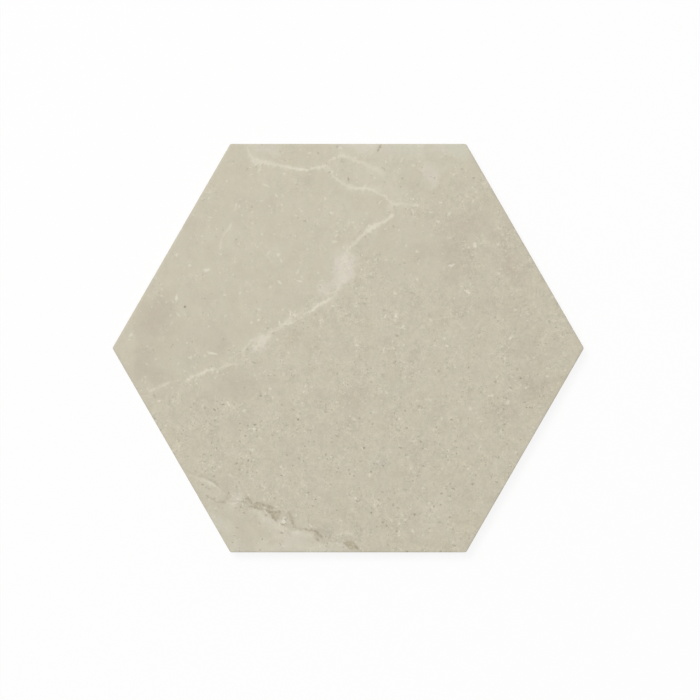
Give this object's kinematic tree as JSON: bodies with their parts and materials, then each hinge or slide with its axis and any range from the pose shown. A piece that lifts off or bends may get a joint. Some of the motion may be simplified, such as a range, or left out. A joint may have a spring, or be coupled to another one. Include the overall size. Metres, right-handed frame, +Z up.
{
  "type": "hexagonal floor tile",
  "caption": "Flat hexagonal porcelain floor tile with a matt stone-look face, slightly rounded edges and a ribbed back that keys into adhesive.",
  "frame": {"origin": "centre of the back, on the plane of its ribs", "axes": "+Z up out of the glazed face, +X to a corner of the hexagon, +Y square to a side"},
  "size_m": [0.2304, 0.2, 0.009],
  "materials": {
    "porcelain": "matt glazed face printed as beige stone, bare porcelain sides and back"
  },
  "bodies": {
    "root": {"floor_tile": "porcelain"}
  },
  "joints": []
}
